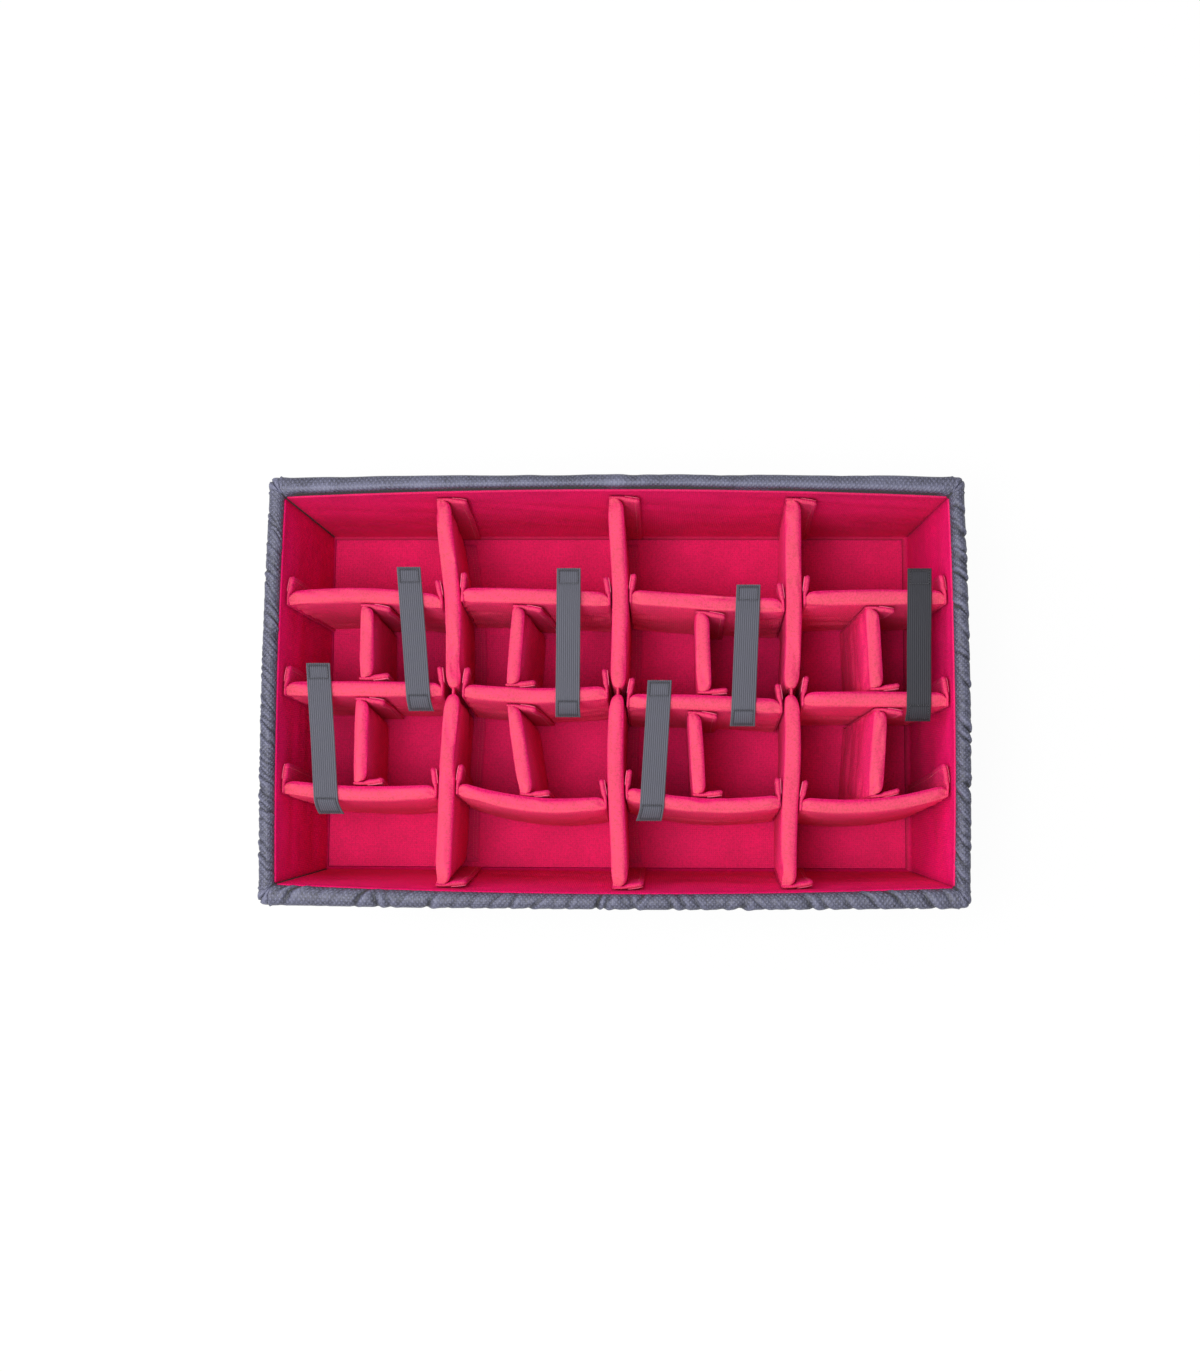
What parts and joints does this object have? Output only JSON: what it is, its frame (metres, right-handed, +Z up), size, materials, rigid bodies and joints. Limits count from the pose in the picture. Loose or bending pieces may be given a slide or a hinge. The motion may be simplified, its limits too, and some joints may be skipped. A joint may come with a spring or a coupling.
{
  "type": "padded case divider",
  "caption": "Open-topped soft tray with padded walls and removable hook-and-loop dividers that form a grid of cells, with elastic straps across the tops.",
  "frame": {"origin": "middle of the tray's rim in plan, on the surface that its base stands on", "axes": "+X to the right along the long side, +Y to the rear, +Z up out of the open top"},
  "size_m": [0.7264, 0.4494, 0.208],
  "materials": {
    "grey_nylon": "woven nylon",
    "red_loop_lining": "brushed loop",
    "coral_loop_fabric": "brushed loop",
    "grey_elastic": "ribbed elastic",
    "black_foam": "closed-cell foam",
    "base_board": "matte"
  },
  "bodies": {
    "tray": {"base_board": "base_board", "base_cover": "grey_nylon", "base_foam": "black_foam", "floor_lining": "red_loop_lining", "front_foam": "black_foam", "front_lining": "red_loop_lining", "left_foam": "black_foam", "left_lining": "red_loop_lining", "outer_cover": "grey_nylon", "rear_foam": "black_foam", "rear_lining": "red_loop_lining", "right_foam": "black_foam", "right_lining": "red_loop_lining"},
    "long_divider_1": {"long_divider_1_floor_flap": "red_loop_lining", "long_divider_1_front_pad": "coral_loop_fabric", "long_divider_1_hinge_web": "coral_loop_fabric", "long_divider_1_rear_pad": "coral_loop_fabric"},
    "long_divider_2": {"long_divider_2_floor_flap": "red_loop_lining", "long_divider_2_front_pad": "coral_loop_fabric", "long_divider_2_hinge_web": "coral_loop_fabric", "long_divider_2_rear_pad": "coral_loop_fabric"},
    "long_divider_3": {"long_divider_3_floor_flap": "red_loop_lining", "long_divider_3_front_pad": "coral_loop_fabric", "long_divider_3_hinge_web": "coral_loop_fabric", "long_divider_3_rear_pad": "coral_loop_fabric"},
    "cross_divider_r1_c1": {"cross_divider_r1_c1": "coral_loop_fabric"},
    "cross_divider_r1_c2": {"cross_divider_r1_c2": "coral_loop_fabric"},
    "cross_divider_r1_c3": {"cross_divider_r1_c3": "coral_loop_fabric"},
    "cross_divider_r1_c4": {"cross_divider_r1_c4": "coral_loop_fabric"},
    "cross_divider_r2_c1": {"cross_divider_r2_c1": "coral_loop_fabric", "strap_1_front_end": "grey_elastic"},
    "cross_divider_r2_c2": {"cross_divider_r2_c2": "coral_loop_fabric", "strap_2_front_end": "grey_elastic"},
    "cross_divider_r2_c3": {"cross_divider_r2_c3": "coral_loop_fabric", "strap_3_front_end": "grey_elastic"},
    "cross_divider_r2_c4": {"cross_divider_r2_c4": "coral_loop_fabric", "strap_4_front_end": "grey_elastic"},
    "cross_divider_r3_c1": {"cross_divider_r3_c1": "coral_loop_fabric", "strap_5_front_end": "grey_elastic"},
    "cross_divider_r3_c2": {"cross_divider_r3_c2": "coral_loop_fabric"},
    "cross_divider_r3_c3": {"cross_divider_r3_c3": "coral_loop_fabric", "strap_6_front_end": "grey_elastic"},
    "cross_divider_r3_c4": {"cross_divider_r3_c4": "coral_loop_fabric"},
    "small_divider_rear_1": {"small_divider_rear_1": "coral_loop_fabric"},
    "small_divider_rear_2": {"small_divider_rear_2": "coral_loop_fabric"},
    "small_divider_rear_3": {"small_divider_rear_3": "coral_loop_fabric"},
    "small_divider_rear_4": {"small_divider_rear_4": "coral_loop_fabric"},
    "small_divider_front_1": {"small_divider_front_1": "coral_loop_fabric"},
    "small_divider_front_2": {"small_divider_front_2": "coral_loop_fabric"},
    "small_divider_front_3": {"small_divider_front_3": "coral_loop_fabric"},
    "small_divider_front_4": {"small_divider_front_4": "coral_loop_fabric"},
    "strap_1": {"strap_1_band": "grey_elastic"},
    "strap_2": {"strap_2_band": "grey_elastic"},
    "strap_3": {"strap_3_band": "grey_elastic"},
    "strap_4": {"strap_4_band": "grey_elastic"},
    "strap_5": {"strap_5_band": "grey_elastic"},
    "strap_6": {"strap_6_band": "grey_elastic"}
  },
  "joints": [
    {"name": "long_divider_1_lift", "type": "slide", "parent": "tray", "child": "long_divider_1", "axis": [0, 0, 1], "range_m": [0, 0.2], "deforming": ["long_divider_1_floor_flap"]},
    {"name": "long_divider_2_lift", "type": "slide", "parent": "tray", "child": "long_divider_2", "axis": [0, 0, 1], "range_m": [0, 0.2], "deforming": ["long_divider_2_floor_flap"]},
    {"name": "long_divider_3_lift", "type": "slide", "parent": "tray", "child": "long_divider_3", "axis": [0, 0, 1], "range_m": [0, 0.2], "deforming": ["long_divider_3_floor_flap"]},
    {"name": "cross_divider_r1_c1_lift", "type": "slide", "parent": "tray", "child": "cross_divider_r1_c1", "axis": [0, 0, 1], "range_m": [0, 0.2]},
    {"name": "cross_divider_r1_c2_lift", "type": "slide", "parent": "tray", "child": "cross_divider_r1_c2", "axis": [0, 0, 1], "range_m": [0, 0.2]},
    {"name": "cross_divider_r1_c3_lift", "type": "slide", "parent": "tray", "child": "cross_divider_r1_c3", "axis": [0, 0, 1], "range_m": [0, 0.2]},
    {"name": "cross_divider_r1_c4_lift", "type": "slide", "parent": "tray", "child": "cross_divider_r1_c4", "axis": [0, 0, 1], "range_m": [0, 0.2]},
    {"name": "cross_divider_r2_c1_lift", "type": "slide", "parent": "tray", "child": "cross_divider_r2_c1", "axis": [0, 0, 1], "range_m": [0, 0.2]},
    {"name": "cross_divider_r2_c2_lift", "type": "slide", "parent": "tray", "child": "cross_divider_r2_c2", "axis": [0, 0, 1], "range_m": [0, 0.2]},
    {"name": "cross_divider_r2_c3_lift", "type": "slide", "parent": "tray", "child": "cross_divider_r2_c3", "axis": [0, 0, 1], "range_m": [0, 0.2]},
    {"name": "cross_divider_r2_c4_lift", "type": "slide", "parent": "tray", "child": "cross_divider_r2_c4", "axis": [0, 0, 1], "range_m": [0, 0.2]},
    {"name": "cross_divider_r3_c1_lift", "type": "slide", "parent": "tray", "child": "cross_divider_r3_c1", "axis": [0, 0, 1], "range_m": [0, 0.2]},
    {"name": "cross_divider_r3_c2_lift", "type": "slide", "parent": "tray", "child": "cross_divider_r3_c2", "axis": [0, 0, 1], "range_m": [0, 0.2]},
    {"name": "cross_divider_r3_c3_lift", "type": "slide", "parent": "tray", "child": "cross_divider_r3_c3", "axis": [0, 0, 1], "range_m": [0, 0.2]},
    {"name": "cross_divider_r3_c4_lift", "type": "slide", "parent": "tray", "child": "cross_divider_r3_c4", "axis": [0, 0, 1], "range_m": [0, 0.2]},
    {"name": "small_divider_rear_1_lift", "type": "slide", "parent": "tray", "child": "small_divider_rear_1", "axis": [0, 0, 1], "range_m": [0, 0.2]},
    {"name": "small_divider_rear_2_lift", "type": "slide", "parent": "tray", "child": "small_divider_rear_2", "axis": [0, 0, 1], "range_m": [0, 0.2]},
    {"name": "small_divider_rear_3_lift", "type": "slide", "parent": "tray", "child": "small_divider_rear_3", "axis": [0, 0, 1], "range_m": [0, 0.2]},
    {"name": "small_divider_rear_4_lift", "type": "slide", "parent": "tray", "child": "small_divider_rear_4", "axis": [0, 0, 1], "range_m": [0, 0.2]},
    {"name": "small_divider_front_1_lift", "type": "slide", "parent": "tray", "child": "small_divider_front_1", "axis": [0, 0, 1], "range_m": [0, 0.2]},
    {"name": "small_divider_front_2_lift", "type": "slide", "parent": "tray", "child": "small_divider_front_2", "axis": [0, 0, 1], "range_m": [0, 0.2]},
    {"name": "small_divider_front_3_lift", "type": "slide", "parent": "tray", "child": "small_divider_front_3", "axis": [0, 0, 1], "range_m": [0, 0.2]},
    {"name": "small_divider_front_4_lift", "type": "slide", "parent": "tray", "child": "small_divider_front_4", "axis": [0, 0, 1], "range_m": [0, 0.2]},
    {"name": "strap_1_peel", "type": "hinge", "parent": "cross_divider_r2_c1", "child": "strap_1", "pos_m": [-0.20081, 0.00907, 0.1923], "axis": [1, 0, 0], "range_deg": [0, 150]},
    {"name": "strap_2_peel", "type": "hinge", "parent": "cross_divider_r2_c2", "child": "strap_2", "pos_m": [-0.04778, 0.00287, 0.1943], "axis": [1, 0, 0], "range_deg": [0, 150]},
    {"name": "strap_3_peel", "type": "hinge", "parent": "cross_divider_r2_c3", "child": "strap_3", "pos_m": [0.13186, -0.00612, 0.1943], "axis": [1, 0, 0], "range_deg": [0, 150]},
    {"name": "strap_4_peel", "type": "hinge", "parent": "cross_divider_r2_c4", "child": "strap_4", "pos_m": [0.31133, -0.00051, 0.1943], "axis": [1, 0, 0], "range_deg": [0, 150]},
    {"name": "strap_5_peel", "type": "hinge", "parent": "cross_divider_r3_c1", "child": "strap_5", "pos_m": [-0.29398, -0.09785, 0.1923], "axis": [1, 0, 0], "range_deg": [0, 150]},
    {"name": "strap_6_peel", "type": "hinge", "parent": "cross_divider_r3_c3", "child": "strap_6", "pos_m": [0.03854, -0.10398, 0.1943], "axis": [1, 0, 0], "range_deg": [0, 150]}
  ],
  "couplings": [
    {"joint": "strap_1_peel", "follows": "cross_divider_r1_c1_lift", "rad_per_m": 13},
    {"joint": "strap_2_peel", "follows": "cross_divider_r1_c2_lift", "rad_per_m": 13},
    {"joint": "strap_3_peel", "follows": "cross_divider_r1_c3_lift", "rad_per_m": 13},
    {"joint": "strap_4_peel", "follows": "cross_divider_r1_c4_lift", "rad_per_m": 13},
    {"joint": "strap_5_peel", "follows": "cross_divider_r2_c1_lift", "rad_per_m": 13},
    {"joint": "strap_6_peel", "follows": "cross_divider_r2_c3_lift", "rad_per_m": 13}
  ]
}
